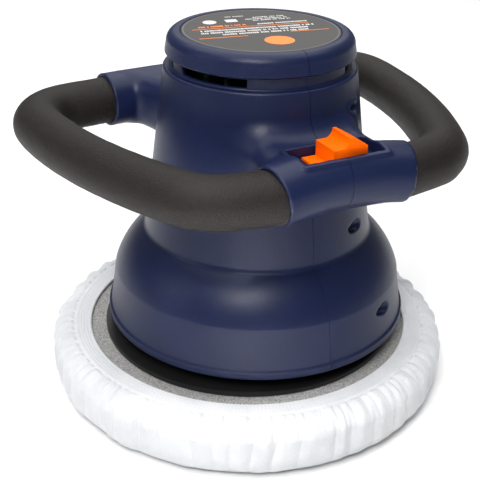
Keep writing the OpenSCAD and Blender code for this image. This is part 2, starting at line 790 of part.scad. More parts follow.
module backing_plate() {
    color(near_black) at_pad_axis() difference() {
        union() {
            translate([0, 0, pad_top_z + 0.1]) cylinder(r = plate_r - 0.6, h = plate_t);
            translate([0, 0, pad_top_z + 0.7]) cylinder(r = plate_r, h = plate_t - 1.2);
            translate([0, 0, plate_top]) cylinder(r = 20, h = bearing_z + 11.4 - plate_top);
            for (k = [0:11])
                rotate([0, 0, k * 30 + 15]) translate([19, -1.2, plate_top - 0.5])
                    cube([62, 2.4, 5]);
            translate([0, 0, plate_top - 0.5]) ring(82, 79.5, 5);
        }
        translate([0, 0, bearing_z]) cylinder(r = 16, h = 20);
        translate([0, 0, bearing_z + 10]) cylinder(r = 16.8, h = 1.1);
        translate([0, 0, 30]) cylinder(r = 12.6, h = 20);
    }
}

module foam_pad() {
    z0 = 4.6;
    color(grey) at_pad_axis() rotate_extrude($fn = 128) polygon(concat(
        [[14, z0]],
        arc_points([pad_r - 11, z0 + 11], 11, -90, 0, 6),
        arc_points([pad_r - 7, pad_top_z - 7], 7, 0, 90, 5),
        [[14, pad_top_z]]));
}

// The bonnet is a cup of cloth pulled over the pad, with its hem on the pad's top face
module bonnet() {
    z0 = 4.3;
    hem_r = bonnet_mouth_r + 3;
    color(white) at_pad_axis() rotate_extrude($fn = 128) polygon(concat(
        [[0, 0]],
        arc_points([bonnet_r - 14, 14], 14, -90, 0, 7),
        arc_points([bonnet_r - 12, pad_top_z - 9.2], 12, 0, 90, 6),
        [[hem_r, pad_top_z + 2.8], [hem_r, pad_top_z + gap]],
        arc_points([pad_r - 7, pad_top_z - 7], 7 + gap, 90, 0, 5),
        arc_points([pad_r - 11, z0 + 11.3], 11 + gap, 0, -90, 6),
        [[0, z0]]));
}

module bonnet_elastic() {
    color(white) at_pad_axis() translate([0, 0, pad_top_z + gap])
        ring(bonnet_mouth_r + 3, bonnet_mouth_r, 2.6);
}

housing_half_left();
housing_half_right();
housing_screws();
label_disc();
handle_tube_left();
handle_tube_right();
grip_left();
grip_right();
switch_housing();
switch_terminals();
switch_slider();
switch_lever();
power_inlet();
inlet_blades();
inlet_wires();
switch_wires();
motor_leads();
circuit_board();
board_screws();
bridge_rectifier();
filter_capacitor();
choke_coil();
motor_can();
motor_magnets();
motor_end_cap();
brush_holders();
carbon_brushes();
brush_springs();
upper_bearing_outer();
upper_bearing_balls();
lower_bearing_outer();
lower_bearing_balls();
motor_bracket();
bracket_screws();
motor_screws();
motor_shaft();
armature_core();
armature_windings();
commutator();
upper_bearing_inner();
lower_bearing_inner();
cooling_fan();
eccentric_hub();
counterweight();
counterweight_screws();
hub_set_screw();
pad_bearing_inner();
pad_bolt();
pad_bolt_washer();
pad_bearing_outer();
pad_bearing_balls();
bearing_retainer();
backing_plate();
foam_pad();
bonnet();
bonnet_elastic();
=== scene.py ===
"""Looks of the rotary polisher: materials, mesh-made shells, grips, bonnet and pad, light and camera.

Every shape is written in millimetres in the CAD frame and scaled once, when its mesh is made.
"""
import json
import math

import bmesh
import bpy
import numpy as np
from mathutils import Matrix, Vector


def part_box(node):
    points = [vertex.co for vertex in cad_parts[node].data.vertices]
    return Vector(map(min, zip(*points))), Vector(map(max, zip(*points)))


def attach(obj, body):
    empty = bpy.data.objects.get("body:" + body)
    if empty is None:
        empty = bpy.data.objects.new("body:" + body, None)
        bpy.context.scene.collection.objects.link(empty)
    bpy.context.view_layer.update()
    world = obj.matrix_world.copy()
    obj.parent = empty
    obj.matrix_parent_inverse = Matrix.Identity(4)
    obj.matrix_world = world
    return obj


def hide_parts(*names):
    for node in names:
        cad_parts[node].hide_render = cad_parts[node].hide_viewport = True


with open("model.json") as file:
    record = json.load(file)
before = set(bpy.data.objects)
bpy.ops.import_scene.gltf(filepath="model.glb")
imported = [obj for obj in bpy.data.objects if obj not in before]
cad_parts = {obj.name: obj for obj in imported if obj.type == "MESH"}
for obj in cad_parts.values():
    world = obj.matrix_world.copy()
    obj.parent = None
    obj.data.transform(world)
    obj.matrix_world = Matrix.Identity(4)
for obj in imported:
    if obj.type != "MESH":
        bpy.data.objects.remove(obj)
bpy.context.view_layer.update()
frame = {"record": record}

MM = 0.001


def corners(node):
    """Lowest and highest corner of a CAD node, in millimetres."""
    return [np.array(c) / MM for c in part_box(node)]


# ---------------------------------------------------------------- driving sizes, from the frame

shell_lo, shell_hi = corners("housing_half_right")
label_lo, label_hi = corners("label_disc")
pad_lo, pad_hi = corners("foam_pad")
bonnet_hi = corners("bonnet")[1]
grip_lo, grip_hi = corners("grip_right")

TOTAL_H = shell_hi[2]
RIM_Z = shell_lo[2]
RIM_R = 100.1
SHOULDER = (94.7, 80.5)
WAIST = (74.0, 108.0)
NECK = (60.3, 216.0)
GROOVE_R = 56.0
LID_Z = 223.5
LID_R = 59.0
LABEL_R = label_hi[0]
WALL = 3.0
HANDLE_Z = (grip_lo[2] + grip_hi[2]) / 2
GRIP_R = (grip_hi[2] - grip_lo[2]) / 2
SLEEVE_R = 18.0
TUBE_R = 9.5
HANDLE_FRONT = 99.0
FRONT_HALF = 43.0
REAR_HALF = 69.0
REAR_Y = 97.9
LOOP_ARCS = ((314.5, 12.0), (33.0, 49.6), (315.0, 25.4), (31.4, 84.7), (682.0, 8.3))
PAD_X = (pad_lo[0] + pad_hi[0]) / 2
SEAM = 0.15
SCREW_SITES = ((-50.7, 197.2), (-61.5, 123.3), (-82.7, 71.1))


# ---------------------------------------------------------------- materials

def new_material(name):
    made = bpy.data.materials.new(name)
    made.use_nodes = True
    nodes, links = made.node_tree.nodes, made.node_tree.links
    nodes.clear()
    shader = nodes.new("ShaderNodeBsdfPrincipled")
    out = nodes.new("ShaderNodeOutputMaterial")
    links.new(shader.outputs[0], out.inputs[0])
    coords = nodes.new("ShaderNodeTexCoord")
    return made, nodes, links, shader, coords.outputs["Object"]


def noise(nodes, links, where, scale, detail=3.0, stretch=None):
    """A noise texture's factor, with scale in cycles per metre."""
    if stretch is not None:
        mapping = nodes.new("ShaderNodeMapping")
        mapping.inputs["Scale"].default_value = stretch
        links.new(where, mapping.inputs["Vector"])
        where = mapping.outputs[0]
    made = nodes.new("ShaderNodeTexNoise")
    made.inputs["Scale"].default_value = scale
    made.inputs["Detail"].default_value = detail
    links.new(where, made.inputs["Vector"])
    return made.outputs[0]


def ramp(nodes, links, factor, stops):
    """A colour ramp from (position, colour) stops."""
    made = nodes.new("ShaderNodeValToRGB")
    band = made.color_ramp
    while len(band.elements) < len(stops):
        band.elements.new(0.5)
    for element, (place, colour) in zip(band.elements, stops):
        element.position = place
        element.color = (*colour, 1)
    links.new(factor, made.inputs[0])
    return made.outputs[0]


def spread(nodes, links, factor, low, high, out_low, out_high):
    made = nodes.new("ShaderNodeMapRange")
    for socket, value in (("From Min", low), ("From Max", high), ("To Min", out_low), ("To Max", out_high)):
        made.inputs[socket].default_value = value
    links.new(factor, made.inputs["Value"])
    return made.outputs[0]


def bump(nodes, links, height, distance, strength=1.0, under=None):
    made = nodes.new("ShaderNodeBump")
    made.inputs["Distance"].default_value = distance
    made.inputs["Strength"].default_value = strength
    links.new(height, made.inputs["Height"])
    if under is not None:
        links.new(under, made.inputs["Normal"])
    return made.outputs[0]


def shade(colour, by):
    return tuple(min(1.0, c * by) for c in colour)


def plastic(name, colour, rough, grain, depth, vary=0.06, specular=0.5, mottle=60.0):
    """Moulded plastic: fine spark-eroded grain, slow tone and gloss changes."""
    made, nodes, links, shader, where = new_material(name)
    slow = noise(nodes, links, where, mottle, 4.0)
    fine = noise(nodes, links, where, grain, 2.0)
    links.new(ramp(nodes, links, slow, [(0.3, shade(colour, 1 - vary)), (0.7, shade(colour, 1 + vary))]),
              shader.inputs["Base Color"])
    links.new(spread(nodes, links, fine, 0.3, 0.7, rough - 0.05, rough + 0.06), shader.inputs["Roughness"])
    links.new(bump(nodes, links, fine, depth), shader.inputs["Normal"])
    shader.inputs["Specular IOR Level"].default_value = specular
    return made


def metal(name, colour, rough, stretch=(1, 1, 12), scale=900.0, vary=0.12):
    """Turned or drawn metal, with lines across the stretched axis."""
    made, nodes, links, shader, where = new_material(name)
    lines = noise(nodes, links, where, scale, 3.0, stretch)
    stains = noise(nodes, links, where, 90.0, 4.0)
    stops = [(0.3, shade(colour, 1 - vary)), (0.7, shade(colour, 1 + vary / 2))]
    links.new(ramp(nodes, links, stains, stops), shader.inputs["Base Color"])
    links.new(spread(nodes, links, lines, 0.3, 0.7, rough - 0.08, rough + 0.1), shader.inputs["Roughness"])
    links.new(bump(nodes, links, lines, 0.00004), shader.inputs["Normal"])
    shader.inputs["Metallic"].default_value = 1.0
    return made


def grip_foam():
    """Closed-cell foam: tiny pores and a soft sheen."""
    made, nodes, links, shader, where = new_material("grip_foam")
    pores = nodes.new("ShaderNodeTexVoronoi")
    pores.inputs["Scale"].default_value = 1500.0
    links.new(where, pores.inputs["Vector"])
    grain = noise(nodes, links, where, 700.0, 4.0)
    tone = ramp(nodes, links, grain, [(0.3, (0.0035, 0.0023, 0.0016)), (0.72, (0.0125, 0.0090, 0.0072))])
    links.new(tone, shader.inputs["Base Color"])
    links.new(spread(nodes, links, grain, 0.3, 0.7, 0.5, 0.64), shader.inputs["Roughness"])
    first = bump(nodes, links, pores.outputs["Distance"], 0.0002)
    links.new(bump(nodes, links, grain, 0.0003, 1.0, first), shader.inputs["Normal"])
    shader.inputs["Specular IOR Level"].default_value = 0.26
    shader.inputs["Sheen Weight"].default_value = 0.02
    shader.inputs["Sheen Roughness"].default_value = 0.4
    return made


def bonnet_cloth():
    """Tightly woven white cotton, with a crossed weave and a soft nap."""
    made, nodes, links, shader, where = new_material("bonnet_cloth")
    nap = noise(nodes, links, where, 420.0, 6.0)
    soft = noise(nodes, links, where, 45.0, 3.0)
    weave = nodes.new("ShaderNodeTexVoronoi")
    weave.inputs["Scale"].default_value = 1100.0
    links.new(where, weave.inputs["Vector"])
    links.new(ramp(nodes, links, soft, [(0.3, (0.55, 0.56, 0.585)), (0.7, (0.635, 0.642, 0.655))]),
              shader.inputs["Base Color"])
    links.new(spread(nodes, links, nap, 0.3, 0.7, 0.8, 0.95), shader.inputs["Roughness"])
    first = bump(nodes, links, weave.outputs["Distance"], 0.00018)
    links.new(bump(nodes, links, nap, 0.0004, 0.8, first), shader.inputs["Normal"])
    shader.inputs["Sheen Weight"].default_value = 0.35
    shader.inputs["Sheen Roughness"].default_value = 0.5
    shader.inputs["Specular IOR Level"].default_value = 0.2
    return made


def felt_foam():
    """The pad's grey felt face: short matted fibres in several greys."""
    made, nodes, links, shader, where = new_material("felt_foam")
    speckle = noise(nodes, links, where, 1300.0, 5.0)
    tufts = noise(nodes, links, where, 260.0, 4.0)
    links.new(ramp(nodes, links, speckle, [(0.34, (0.14, 0.135, 0.13)), (0.5, (0.26, 0.255, 0.25)),
                                           (0.66, (0.42, 0.415, 0.41))]), shader.inputs["Base Color"])
    first = bump(nodes, links, tufts, 0.0006)
    links.new(bump(nodes, links, speckle, 0.0004, 1.0, first), shader.inputs["Normal"])
    shader.inputs["Roughness"].default_value = 0.95
    shader.inputs["Sheen Weight"].default_value = 0.3
    return made


def printed_label():
    """The label's dark grey film: fine flecks and a satin lacquer."""
    made, nodes, links, shader, where = new_material("label_film")
    fleck = noise(nodes, links, where, 1600.0, 2.0)
    slow = noise(nodes, links, where, 22.0, 3.0)
    links.new(ramp(nodes, links, slow, [(0.3, (0.040, 0.039, 0.038)), (0.7, (0.054, 0.052, 0.050))]),
              shader.inputs["Base Color"])
    links.new(spread(nodes, links, slow, 0.3, 0.7, 0.5, 0.6), shader.inputs["Roughness"])
    links.new(bump(nodes, links, fleck, 0.00003), shader.inputs["Normal"])
    shader.inputs["Specular IOR Level"].default_value = 0.35
    return made


NAVY = (0.0058, 0.0104, 0.0410)
MATERIALS = {
    "housing_plastic": plastic("housing_plastic", NAVY, 0.37, 1300.0, 0.00010, 0.07, 0.24),
    "label_plastic": printed_label(),
    "grip_foam": grip_foam(),
    "black_plastic": plastic("black_plastic", (0.0075, 0.0075, 0.008), 0.42, 1200.0, 0.00006, 0.12),
    "orange_plastic": plastic("orange_plastic", (0.90, 0.112, 0.0), 0.55, 1500.0, 0.00004, 0.03, 0.04),
    "cream_plastic": plastic("cream_plastic", (0.55, 0.52, 0.45), 0.45, 900.0, 0.00005),
    "wire_sleeve": plastic("wire_sleeve", (0.55, 0.55, 0.52), 0.4, 900.0, 0.00003),
    "red_wire": plastic("red_wire", (0.45, 0.03, 0.02), 0.4, 900.0, 0.00003),
    "board": plastic("board", (0.012, 0.06, 0.025), 0.35, 700.0, 0.00004, 0.15),
    "capacitor_sleeve": plastic("capacitor_sleeve", (0.03, 0.07, 0.2), 0.22, 500.0, 0.00002),
    "tube_steel": metal("tube_steel", (0.55, 0.56, 0.58), 0.3),
    "screw_steel": metal("screw_steel", (0.50, 0.50, 0.50), 0.3),
    "bearing_steel": metal("bearing_steel", (0.62, 0.63, 0.65), 0.2),
    "hub_steel": metal("hub_steel", (0.48, 0.48, 0.50), 0.34),
    "spring_steel": metal("spring_steel", (0.40, 0.40, 0.42), 0.3),
    "can_steel": metal("can_steel", (0.12, 0.12, 0.13), 0.4),
    "ferrite": plastic("ferrite", (0.06, 0.06, 0.065), 0.6, 800.0, 0.00006),
    "carbon": plastic("carbon", (0.03, 0.03, 0.03), 0.55, 900.0, 0.00008),
    "cast_aluminium": metal("cast_aluminium", (0.62, 0.63, 0.65), 0.45, (1, 1, 1), 500.0),
    "brass": metal("brass", (0.75, 0.55, 0.22), 0.3),
    "copper": metal("copper", (0.62, 0.28, 0.13), 0.35),
    "pad_foam": felt_foam(),
    "bonnet_cloth": bonnet_cloth(),
}
PRINT_PALE = plastic("label_print_pale", (0.60, 0.59, 0.57), 0.5, 1500.0, 0.00002, 0.08)
PRINT_GREY = plastic("label_print_grey", (0.16, 0.155, 0.15), 0.5, 1500.0, 0.00002, 0.08)
PRINT_ORANGE = plastic("label_print_orange", (0.85, 0.22, 0.05), 0.5, 1500.0, 0.00002, 0.05, 0.2)


# ---------------------------------------------------------------- mesh helpers

def show(name, verts, faces, body, slot, replaces=(), material=None, smooth=True, sharp=None):
    """A mesh piece from millimetre points. sharp is the angle in degrees above which edges stay sharp."""
    mesh = bpy.data.meshes.new(name)
    mesh.from_pydata((np.asarray(verts, float) * MM).tolist(), [], [tuple(map(int, f)) for f in faces])
    mesh.validate()
    obj = bpy.data.objects.new(name, mesh)
    bpy.context.scene.collection.objects.link(obj)
    finish_piece(obj, body, slot, replaces, material, smooth, sharp)
    return obj


def finish_piece(obj, body, slot, replaces=(), material=None, smooth=True, sharp=None):
    mesh = obj.data
    mesh.materials.clear()
    mesh.materials.append(material or MATERIALS[slot])
    mesh.polygons.foreach_set("use_smooth", [smooth] * len(mesh.polygons))
    if sharp is not None:
        mesh.set_sharp_from_angle(angle=math.radians(sharp))
    mesh.update()
    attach(obj, body)
    if replaces:
        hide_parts(*replaces)


def grid_faces(rows, cols, close_rows=False, close_cols=True, first=0, flip=False):
    """Quads of a rows x cols grid of points, numbered row by row."""
    r = np.arange(rows if close_rows else rows - 1)
    c = np.arange(cols if close_cols else cols - 1)
    r, c = (a.ravel() for a in np.meshgrid(r, c, indexing="ij"))
    r2, c2 = (r + 1) % rows, (c + 1) % cols
    quads = np.stack([r * cols + c, r * cols + c2, r2 * cols + c2, r2 * cols + c], axis=1) + first
    return quads[:, ::-1] if flip else quads


def turn(profile, segments, centre=(0.0, 0.0)):
    """Points of a closed profile [(r, z)...] turned about Z, as a (profile x segments) grid."""
    angle = np.arange(segments) * 2 * np.pi / segments
    profile = np.asarray(profile, float)
    return np.stack([centre[0] + profile[:, :1] * np.cos(angle), centre[1] + profile[:, :1] * np.sin(angle),
                     np.repeat(profile[:, 1:], segments, axis=1)], axis=2).reshape(-1, 3)


def arc(centre, radius, start, end, steps):
    a = np.radians(np.linspace(start, end, steps + 1))
    return [(centre[0] + radius * math.cos(t), centre[1] + radius * math.sin(t)) for t in a]


def smooth_step(x, low, high):
    t = np.clip((x - low) / (high - low), 0, 1)
    return t * t * (3 - 2 * t)


def ring_noise(seed, low, high, count):
    """A function of an angle: a sum of waves that closes on itself, about -1 to 1."""
    rng = np.random.default_rng(seed)
    freq, phase = rng.integers(low, high, count), rng.uniform(0, 2 * np.pi, count)
    size = rng.uniform(0.4, 1.0, count)
    size /= size.sum() ** 0.5 * 1.2
    return lambda a: sum(s * np.cos(f * a + p) for f, p, s in zip(freq, phase, size))


# ---------------------------------------------------------------- handle loop

def loop_line(x_front, x_rear, step):
    """The right half of the loop's centreline as rows of (x, y, heading in radians)."""
    heading, corner, rows = 0.0, np.array([0.0, -HANDLE_FRONT]), []
    for i, (radius, turned) in enumerate(LOOP_ARCS):
        h0 = math.radians(heading)
        centre = corner + radius * np.array([-math.sin(h0), math.cos(h0)])
        start = math.asin(x_front / radius) if i == 0 else h0
        last = i == len(LOOP_ARCS) - 1
        end = math.pi - math.asin((x_rear - centre[0]) / radius) if last else math.radians(heading + turned)
        count = max(2, int(math.ceil(radius * (end - start) / step)))
        for k in range(0 if i == 0 else 1, count + 1):
            h = start + (end - start) * k / count
            rows.append((centre[0] + radius * math.sin(h), centre[1] - radius * math.cos(h), h))
        corner = centre + radius * np.array([math.sin(math.radians(heading + turned)),
                                             -math.cos(math.radians(heading + turned))])
        heading += turned
    return np.array(rows)


def grip(side):
    """A foam grip: a tube along the loop, with a moulding line low on its outside and flat capped ends."""
    line = loop_line(FRONT_HALF - 5.5, REAR_HALF - 2.5, 1.6)
    around = 128
    a = np.arange(around) * 2 * np.pi / around
    drift = np.random.default_rng(7).normal(0, 1, (len(line), around))
    for _ in range(6):
        drift = (drift + np.roll(drift, 1, 1) + np.roll(drift, -1, 1)) / 3
        drift[1:-1] = (drift[:-2] + drift[1:-1] + drift[2:]) / 3
    line_at = math.radians(-42)
    ridge = 0.35 * np.exp(-((a - 2 * np.pi - line_at) / 0.05) ** 2)
    outer = GRIP_R - 0.12 + 0.3 * drift + ridge[None, :]

    def tube(radius):
        out = np.cos(a) * radius
        up = np.sin(a) * radius
        x = line[:, :1] + out * np.sin(line[:, 2:])
        y = line[:, 1:2] - out * np.cos(line[:, 2:])
        return np.stack([side * x, y, HANDLE_Z + up], axis=2).reshape(-1, 3)

    rows = len(line)
    points = np.concatenate([tube(outer), tube(np.full_like(outer, TUBE_R + 0.05))])
    faces = [grid_faces(rows, around, flip=side > 0),
             grid_faces(rows, around, first=rows * around, flip=side < 0)]
    j = np.arange(around)
    k = (j + 1) % around
    for ring in (0, rows - 1):
        o, i = ring * around, (rows + ring) * around
        cap = np.stack([o + j, o + k, i + k, i + j], axis=1)
        faces.append(cap if (side > 0) == (ring == 0) else cap[:, ::-1])
    name = "grip_right" if side > 0 else "grip_left"
    return show(name + "_foam", points, np.concatenate(faces), "housing", "grip_foam", [name], sharp=60)


# ---------------------------------------------------------------- housing shells, as a distance field

def circle_through(p, q, radius):
    """Centre of the circle through p and q that bulges to the right of p -> q."""
    p, q = np.array(p), np.array(q)
    mid, d = (p + q) / 2, (q - p) / np.linalg.norm(q - p)
    return mid + np.array([-d[1], d[0]]) * math.sqrt(radius ** 2 - (np.linalg.norm(q - p) / 2) ** 2)


BELL_R = 52.0
BELL_C = circle_through(SHOULDER, WAIST, BELL_R)


def bell(radius, steps):
    start = math.degrees(math.atan2(SHOULDER[1] - BELL_C[1], SHOULDER[0] - BELL_C[0]))
    end = math.degrees(math.atan2(WAIST[1] - BELL_C[1], WAIST[0] - BELL_C[0]))
    return arc(BELL_C, radius, start, end, steps)


def waist_fillet():
    """A small hollow round where the bell meets the body cone."""
    before = np.array(bell(BELL_R, 30)[-3])
    cone = np.array(NECK) - np.array(WAIST)
    after = np.array(WAIST) + cone / np.linalg.norm(cone) * 2.6
    t = np.linspace(0, 1, 7)[1:, None]
    curve = before * (1 - t) ** 2 + np.array(WAIST) * 2 * t * (1 - t) + after * t * t
    return [tuple(p) for p in curve]


def outer_profile():
    lid_round = 6.5
    return ([(0, RIM_Z)] + arc((RIM_R - 1, RIM_Z + 1), 1, -90, 0, 5)
            + arc((RIM_R - 1, RIM_Z + 4.3), 1, 0, 90, 5)
            + [(RIM_R - 1.55, RIM_Z + 5.5), (RIM_R - 1.6, RIM_Z + 5.8)]
            + bell(BELL_R, 30)[:-2] + waist_fillet()
            + [(NECK[0] + 0.13, NECK[1] - 2)] + arc((NECK[0] - 1.5, NECK[1] - 1.6), 1.6, 5, 90, 6)
            + [(GROOVE_R, NECK[1]), (GROOVE_R, LID_Z)] + arc((LID_R - 1.4, LID_Z + 1.4), 1.4, -90, 0, 5)
            + arc((LID_R - 1 - lid_round, TOTAL_H - lid_round), lid_round, 0, 90, 14)
            + arc((LABEL_R + 0.75, TOTAL_H - 0.5), 0.5, 90, 180, 4)
            + [(LABEL_R + 0.2, TOTAL_H - 0.9), (0, TOTAL_H - 0.9)])


def inner_profile():
    return ([(0, RIM_Z - 5), (RIM_R - WALL, RIM_Z - 5)] + bell(BELL_R - WALL, 24)[:-5]
            + [(WAIST[0] - WALL - 1, WAIST[1] - 2),
               (NECK[0] - WALL, NECK[1] - WALL), (GROOVE_R - WALL, NECK[1] - WALL),
               (GROOVE_R - WALL, TOTAL_H - WALL - 2.5), (GROOVE_R - WALL - 3, TOTAL_H - WALL - 0.5),
               (0, TOTAL_H - WALL - 0.5)])


class Turned:
    """Signed distance to a turned profile, looked up in a fine table."""
    STEP = 0.2

    def __init__(self, profile):
        points = np.array(profile)
        self.low = np.array([0.0, RIM_Z - 12])
        high = np.array([150.0, TOTAL_H + 6])
        count = np.ceil((high - self.low) / self.STEP).astype(int)
        r = (self.low[0] + np.arange(count[0]) * self.STEP)[:, None]
        z = (self.low[1] + np.arange(count[1]) * self.STEP)[None, :]
        best = np.full(tuple(count), 1e9)
        inside = np.zeros(tuple(count), bool)
        for (x0, z0), (x1, z1) in zip(points, np.roll(points, -1, axis=0)):
            dx, dz = x1 - x0, z1 - z0
            length = dx * dx + dz * dz
            if length < 1e-9:
                continue
            if max(x0, x1) > 1e-6:  # the stretch on the axis isn't a surface
                t = np.clip(((r - x0) * dx + (z - z0) * dz) / length, 0, 1)
                np.minimum(best, (r - x0 - t * dx) ** 2 + (z - z0 - t * dz) ** 2, out=best)
            if abs(dz) > 1e-9:
                crosses = ((z >= min(z0, z1)) & (z < max(z0, z1)) & (r < x0 + (z - z0) * dx / dz))
                inside ^= crosses
        self.table = np.where(inside, -1, 1) * np.sqrt(best)

    def __call__(self, r, z):
        x = np.clip((r - self.low[0]) / self.STEP, 0, self.table.shape[0] - 1.001)
        y = np.clip((z - self.low[1]) / self.STEP, 0, self.table.shape[1] - 1.001)
        i, j = x.astype(np.int32), y.astype(np.int32)
        fx, fy = x - i, y - j
        t = self.table
        return ((t[i, j] * (1 - fx) + t[i + 1, j] * fx) * (1 - fy)
                + (t[i, j + 1] * (1 - fx) + t[i + 1, j + 1] * fx) * fy)


OUTSIDE = Turned(outer_profile())
INSIDE = Turned(inner_profile())


def join(a, b, radius):
    """Union with a round fillet."""
    return (np.maximum(radius, np.minimum(a, b))
            - np.hypot(np.maximum(radius - a, 0), np.maximum(radius - b, 0)))


def cut(a, b, radius):
    """What of a isn't in b, with a rounded edge."""
    b = -b
    return (np.minimum(-radius, np.maximum(a, b))
            + np.hypot(np.maximum(radius + a, 0), np.maximum(radius + b, 0)))


def box_distance(x, y, z, centre, half, radius):
    q = [np.abs(v - c) - h + radius for v, c, h in zip((x, y, z), centre, half)]
    outside = np.sqrt(sum(np.maximum(v, 0) ** 2 for v in q))
    return outside + np.minimum(np.maximum(q[0], np.maximum(q[1], q[2])), 0) - radius


def arm_distance(x, y, z, w_near, w_far, top_near, top_far, low_near, low_far, radius, inset=0.0):
    """An arm towards +Y whose rounded-box section widens along a curve."""
    near_y, far_y, power = 52.0, 95.0, 1.7
    share = np.clip((y - near_y) / (far_y - near_y), 0, 1)
    width = w_near + (w_far - w_near) * (1 - (1 - share ** power) ** (1 / power)) - inset
    top = top_near + (top_far - top_near) * share - inset
    low = low_near + (low_far - low_near) * share + inset
    r = radius - inset
    qx = np.abs(x) - width + r
    qz = np.abs(z - (top + low) / 2) - (top - low) / 2 + r
    section = np.hypot(np.maximum(qx, 0), np.maximum(qz, 0)) + np.minimum(np.maximum(qx, qz), 0) - r
    ends = np.maximum(y - far_y, 36.0 - y)
    return np.maximum(section, ends)


BOW = 4.2
BOW_R = (FRONT_HALF ** 2 + BOW ** 2) / (2 * BOW)
FRONT_END_Y = -HANDLE_FRONT + LOOP_ARCS[0][0] - math.sqrt(LOOP_ARCS[0][0] ** 2 - FRONT_HALF ** 2)


def front_sleeve_distance(x, y, z, radius):
    """The front sleeve's bowed tube, and the distance past its ends."""
    tilt = math.sqrt(0.5)
    dy, dz = y - FRONT_END_Y, z - HANDLE_Z
    along, across = dy * tilt + dz * tilt, -dy * tilt + dz * tilt
    along = along + BOW_R - BOW
    ring = np.hypot(x, along) - BOW_R
    tube = np.hypot(ring, across) - radius
    reach = math.asin(FRONT_HALF / BOW_R)
    past = np.abs(x) * math.cos(reach) - along * math.sin(reach)
    return tube, past


def rear_sleeve_distance(x, y, z, radius):
    big = LOOP_ARCS[-1][0]
    dy = y - (REAR_Y - big)
    ring = np.hypot(x, dy) - big
    reach = math.asin(REAR_HALF / big)
    return np.hypot(ring, z - HANDLE_Z) - radius, np.abs(x) * math.cos(reach) - dy * math.sin(reach)


TRAY_HALF = 28.4
TRAY_TOP = 190.5
TRAY_Y = -91.15  # middle of the switch tray
SLOT_HALF = (10, 3.5, 10)  # half sizes of the slider's slot
SWITCH_Y = -92.5
# each arm's half width, top and bottom at the body and at its end, then its edges' radius
FRONT_ARM = (38, 40, 193, 185.5, 150, 155.5, 13)
REAR_ARM = (43, 67.5, 190, 189.6, 148, 155, 12)
LIP_HALF = 2.2  # half the length of the lip at a sleeve's end
END_WALL = 3.4  # thickness of a sleeve's end, beyond the arm's hollow
VENT_MID, VENT_HALF = 59.75, 23.75  # angles of the vent slots, in degrees from the front or back
BOSS_R, POCKET_R, POCKET_X = 5.5, 3.8, 13.0
INLET_HOLE_R = 15.1


def shell_distance(x, y, z, right):
    """Signed distance to a housing shell, with the arms and sleeves blended into the body."""
    r = np.hypot(x, y)
    body = OUTSIDE(r, z)
    front_tube, front_past = front_sleeve_distance(x, y, z, SLEEVE_R)
    rear_tube, rear_past = rear_sleeve_distance(x, y, z, SLEEVE_R)
    front = join(arm_distance(x, -y, z, *FRONT_ARM), front_tube, 5.0)
    rear = join(arm_distance(x, y, z, *REAR_ARM), rear_tube, 4.0)
    front = cut(front, -front_past, 0.8)
    rear = cut(rear, -rear_past, 0.8)
    # lips at the sleeves' ends
    front = np.minimum(front, np.maximum(front_tube, np.abs(front_past + LIP_HALF) - LIP_HALF))
    rear = np.minimum(rear, np.maximum(rear_tube, np.abs(rear_past + LIP_HALF) - LIP_HALF))
    tray = box_distance(x, y, z, (0, TRAY_Y, TRAY_TOP - 7.8), (TRAY_HALF, 14.35, 8), 0.7)
    outer = join(join(body, front, 10.0), rear, 8.0)
    outer = join(outer, tray, 0.35)

    front_hollow = arm_distance(x, -y, z, *FRONT_ARM, WALL)
    rear_hollow = arm_distance(x, y, z, *REAR_ARM, WALL)
    hollow = np.minimum(INSIDE(r, z), np.minimum(np.maximum(front_hollow, front_past + END_WALL),
                                                 np.maximum(rear_hollow, rear_past + END_WALL)))
    # the sleeves' bores are wider where the grips' ends sit
    for tube, past, depth in ((front_tube, front_past, 6.4), (rear_tube, rear_past, 3.2)):
        hollow = np.minimum(hollow, tube + SLEEVE_R - TUBE_R - 3.5)
        hollow = np.minimum(hollow, np.maximum(tube + SLEEVE_R - GRIP_R + 0.1, -depth - past))
    shell = cut(outer, hollow, 0.6)
    block = box_distance(x, y, z, (0, TRAY_Y, 185.7), (TRAY_HALF - 0.5, 13.8, 4.5), 0.5)
    shell = np.minimum(shell, block)
    shell = cut(shell, box_distance(x, y, z, (0, -90.2, 193.5), (TRAY_HALF - 2.2, 11.3, 10), 0.8), 0.5)
    slot = box_distance(x, y, z, (-4, SWITCH_Y, 180), SLOT_HALF, 0.3)
    shell = np.maximum(shell, -slot)

    # vent slots through the groove's wall
    angle = np.degrees(np.arctan2(y, x))
    for middle in (-90 + VENT_MID, -90 - VENT_MID, 90 - VENT_MID, 90 + VENT_MID):
        off = np.abs((angle - middle + 180) % 360 - 180)
        slot = np.maximum(np.abs(z - (NECK[1] + LID_Z) / 2) - 2.6,
                          np.maximum((off - VENT_HALF) * math.pi / 180 * r, np.abs(r - GROOVE_R + 1.5) - 3.2))
        shell = cut(shell, slot, 0.4)

    # screw bosses, with pockets on the right
    for side in (-1, 1):
        for y0, z0 in SCREW_SITES:
            from_axis = np.hypot(y - side * y0, z - z0)
            rise = 0.9 if right and z0 > 190 else -0.8
            boss = np.maximum(np.maximum(from_axis - BOSS_R, outer - rise), -np.abs(x))
            shell = join(shell, boss, 0.9)
            if right:
                shell = cut(shell, np.maximum(from_axis - POCKET_R, POCKET_X - x), 0.5)
    # inlet hole
    hole = np.maximum(np.hypot(x, z - HANDLE_Z) - INLET_HOLE_R, 95 - y)
    return np.maximum(shell, -hole)


